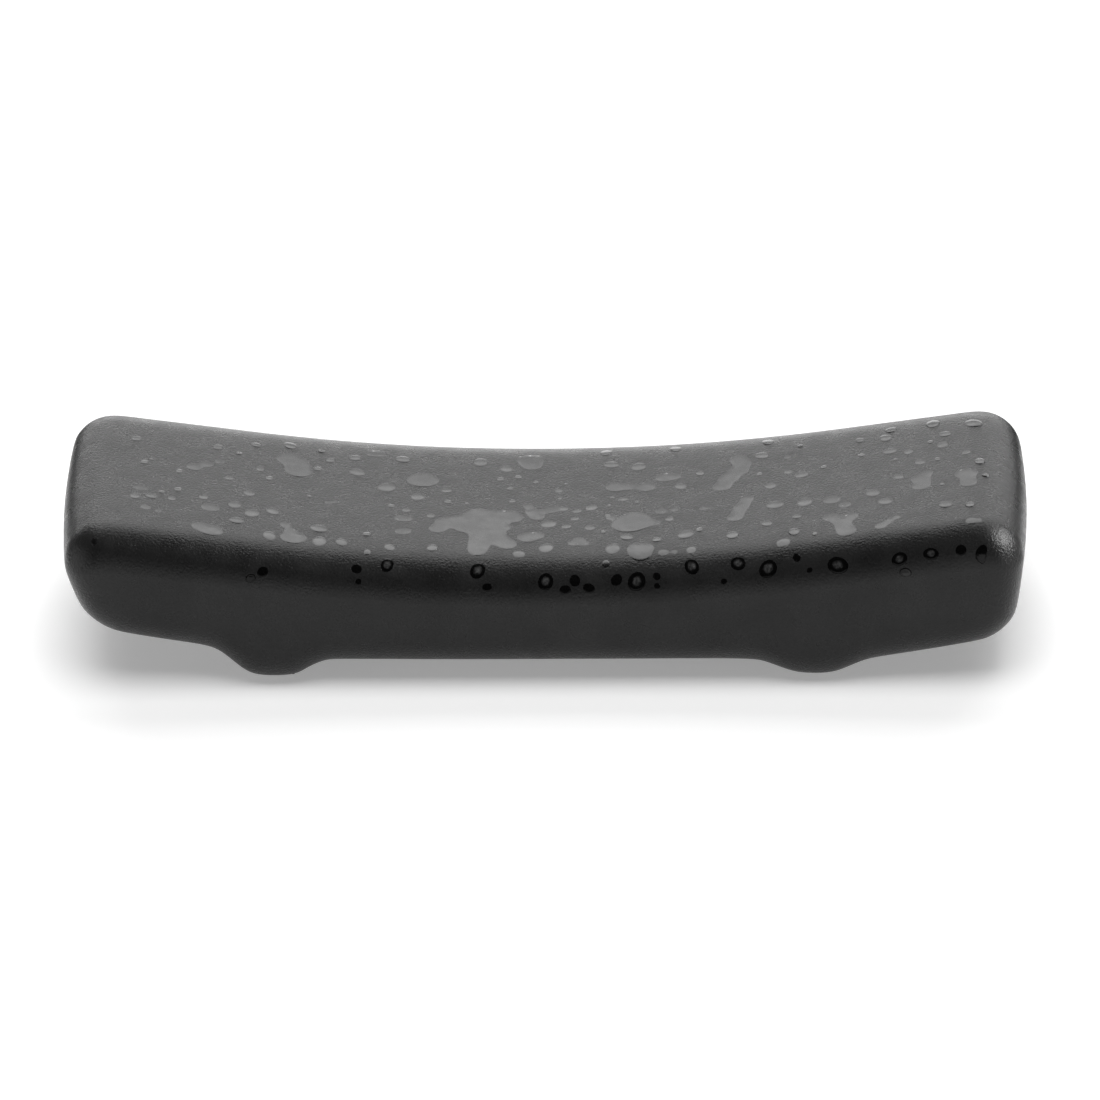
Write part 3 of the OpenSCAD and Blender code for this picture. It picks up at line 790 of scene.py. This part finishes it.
class REST_OT_pools(bpy.types.Operator):
    """Makes the large merged patches of the second glaze"""

    bl_idname = "rest.pools"
    bl_label = "Glaze pools"

    def execute(self, context):
        lobes = []
        for x, y, parts in POOLS:
            lobes += [(x + across, y + back, size) for across, back, size in parts]
        lay_blobs("pools", lobes, "glaze_pools")
        return {"FINISHED"}


class REST_OT_runs(bpy.types.Operator):
    """Makes the long drops of the second glaze"""

    bl_idname = "rest.runs"
    bl_label = "Glaze runs"

    def execute(self, context):
        lobes = [lobe for run in RUNS for lobe in run_lobes(*run)]
        lay_blobs("runs", lobes + list(SPURS), "glaze_runs")
        return {"FINISHED"}


class REST_OT_drops(bpy.types.Operator):
    """Makes the round drops on the top, the fine ones and those on the front edge"""

    bl_idname = "rest.drops"
    bl_label = "Round drops"

    def execute(self, context):
        s = form()
        thin = shared_drop_finish()
        make_drops("top_drops", "round_drops", s.drop_levels, s.flatten, s.lean, thin)
        make_drops("fine_drops", "fine_beads", s.drop_levels, s.flatten, s.lean / 2, thin)
        make_drops("edge_drops", "front_drops", s.edge_levels, s.edge_flatten, 0, edge_finish())
        return {"FINISHED"}


def add_camera():
    """The camera at the photograph's viewing angle."""
    s = stage_settings()
    e, t, r = s.view_height, s.view_turn, s.view_roll
    back = Vector((math.sin(t) * math.cos(e), -math.cos(t) * math.cos(e), math.sin(e)))
    right = Vector((math.cos(t), math.sin(t), 0))
    up = back.cross(right)
    right, up = right * math.cos(r) + up * math.sin(r), up * math.cos(r) - right * math.sin(r)
    data = bpy.data.cameras.new("photo_camera")
    camera = bpy.data.objects.new("photo_camera", data)
    bpy.context.scene.collection.objects.link(camera)
    data.sensor_width = 36
    data.lens = data.sensor_width * s.focal_pixels / PHOTO_SIDE
    data.clip_start, data.clip_end = 0.01, 20
    metres = s.view_distance / s.focal_pixels
    aim = Vector(s.view_centre) + right * (PHOTO_SIDE / 2 - s.centre_pixel[0]) * metres
    aim -= up * (PHOTO_SIDE / 2 - s.centre_pixel[1]) * metres
    turn = Matrix((right, up, back)).transposed().to_4x4()
    camera.matrix_world = Matrix.Translation(aim + back * s.view_distance) @ turn
    bpy.context.scene.camera = camera


def add_lamp(name, place, size, brightness):
    """A soft rectangular lamp aimed at the rest, as bright as a white wall of that strength."""
    data = bpy.data.lights.new(name, "AREA")
    data.shape = "RECTANGLE"
    data.size, data.size_y = size
    data.energy = brightness * math.pi * size[0] * size[1]
    lamp = bpy.data.objects.new(name, data)
    bpy.context.scene.collection.objects.link(lamp)
    lamp.location = place
    lamp.rotation_euler = (-Vector(place)).to_track_quat("-Z", "Y").to_euler()
    lamp.visible_camera = False
    return lamp


def around(distance, turn, height):
    """A place at a distance from the rest, turned from straight behind towards the right."""
    t, h = math.radians(turn), math.radians(height)
    return Vector((math.sin(t) * math.cos(h), math.cos(t) * math.cos(h), math.sin(h))) * distance


def floor_finish():
    """White table top that shows as white, and keeps the shadow."""
    s = stage_settings()
    material = bpy.data.materials.new("white_table")
    material.use_nodes = True
    tree = material.node_tree
    nodes, links = tree.nodes, tree.links
    nodes.clear()
    out = nodes.new("ShaderNodeOutputMaterial")
    matte = nodes.new("ShaderNodeBsdfDiffuse")
    matte.inputs["Color"].default_value = s.floor_colour
    glow = nodes.new("ShaderNodeEmission")
    path = nodes.new("ShaderNodeLightPath")
    seen = path.outputs["Is Camera Ray"]
    for ray in ("Is Glossy Ray", "Is Transmission Ray"):
        either = nodes.new("ShaderNodeMath")
        either.operation = "MAXIMUM"
        links.new(seen, either.inputs[0])
        links.new(path.outputs[ray], either.inputs[1])
        seen = either.outputs[0]
    level = nodes.new("ShaderNodeMath")
    level.operation = "MULTIPLY"
    level.inputs[1].default_value = s.floor_glow
    links.new(seen, level.inputs[0])
    links.new(level.outputs[0], glow.inputs["Strength"])
    both = nodes.new("ShaderNodeAddShader")
    links.new(matte.outputs[0], both.inputs[0])
    links.new(glow.outputs[0], both.inputs[1])
    links.new(both.outputs[0], out.inputs["Surface"])
    return material


def card_finish():
    """Matte black of the cards."""
    material = bpy.data.materials.get("black_card") or bpy.data.materials.new("black_card")
    material.use_nodes = True
    shader = material.node_tree.nodes["Principled BSDF"]
    shader.inputs["Base Color"].default_value = CARD_COLOUR
    shader.inputs["Roughness"].default_value = 1
    return material


def add_card(name, place, size, turn):
    """A black card on the table behind the rest, which only its reflections show."""
    bpy.ops.object.select_all(action="DESELECT")
    bpy.ops.mesh.primitive_plane_add(size=1, location=(place[0], place[1], CARD_HEIGHT))
    card = bpy.context.active_object
    card.name = name
    card.scale = (size[0], size[1], 1)
    card.rotation_euler = (0, 0, math.radians(turn))
    bpy.ops.object.transform_apply(location=True, rotation=True, scale=True)
    card.data.materials.append(card_finish())
    card.visible_camera = False
    card.visible_shadow = False
    card.visible_diffuse = False


class REST_OT_stage(bpy.types.Operator):
    """Makes the table, the soft light and the camera"""

    bl_idname = "rest.stage"
    bl_label = "Stage"

    def execute(self, context):
        s = stage_settings()
        bpy.ops.object.select_all(action="DESELECT")
        bpy.ops.mesh.primitive_plane_add(size=TABLE_SIDE, location=(0, 0, 0))
        table = context.active_object
        table.name = "table"
        table.data.materials.append(floor_finish())
        world = bpy.data.worlds.new("room")
        context.scene.world = world
        world.use_nodes = True
        background = world.node_tree.nodes["Background"]
        background.inputs["Color"].default_value = (1, 1, 1, 1)
        background.inputs["Strength"].default_value = s.room_grey
        for name, place, size, setting, share in LAMPS:
            lamp = add_lamp(name, around(*place), size, getattr(s, setting) * share)
            lamp.visible_diffuse = name != ONLY_IN_GLOSS
            lamp.visible_glossy = name != NEVER_IN_GLOSS
        for card in CARDS:
            add_card(*card)
        context.scene.view_settings.view_transform = "Standard"
        add_camera()
        return {"FINISHED"}


class REST_PT_panel(bpy.types.Panel):
    """Lists the pieces of the rest"""

    bl_idname = "REST_PT_panel"
    bl_label = "Chopstick rest"
    bl_space_type = "VIEW_3D"
    bl_region_type = "UI"
    bl_category = "Rest"

    def draw(self, context):
        for operator in OPERATORS:
            self.layout.operator(operator.bl_idname)


OPERATORS = (REST_OT_coat, REST_OT_clay, REST_OT_pools, REST_OT_runs, REST_OT_drops, REST_OT_stage)
SETTINGS = (RestGlazeSettings, RestFormSettings, RestStageSettings)


def register():
    for cls in SETTINGS + OPERATORS + (REST_PT_panel,):
        bpy.utils.register_class(cls)
    bpy.types.Scene.rest_glaze = PointerProperty(type=RestGlazeSettings)
    bpy.types.Scene.rest_form = PointerProperty(type=RestFormSettings)
    bpy.types.Scene.rest_stage = PointerProperty(type=RestStageSettings)


def unregister():
    del bpy.types.Scene.rest_glaze
    del bpy.types.Scene.rest_form
    del bpy.types.Scene.rest_stage
    for cls in reversed(SETTINGS + OPERATORS + (REST_PT_panel,)):
        bpy.utils.unregister_class(cls)


def main():
    register()
    bpy.ops.rest.coat()
    bpy.ops.rest.clay()
    bpy.ops.rest.pools()
    bpy.ops.rest.runs()
    bpy.ops.rest.drops()
    bpy.ops.rest.stage()


if __name__ == "__main__":
    main()
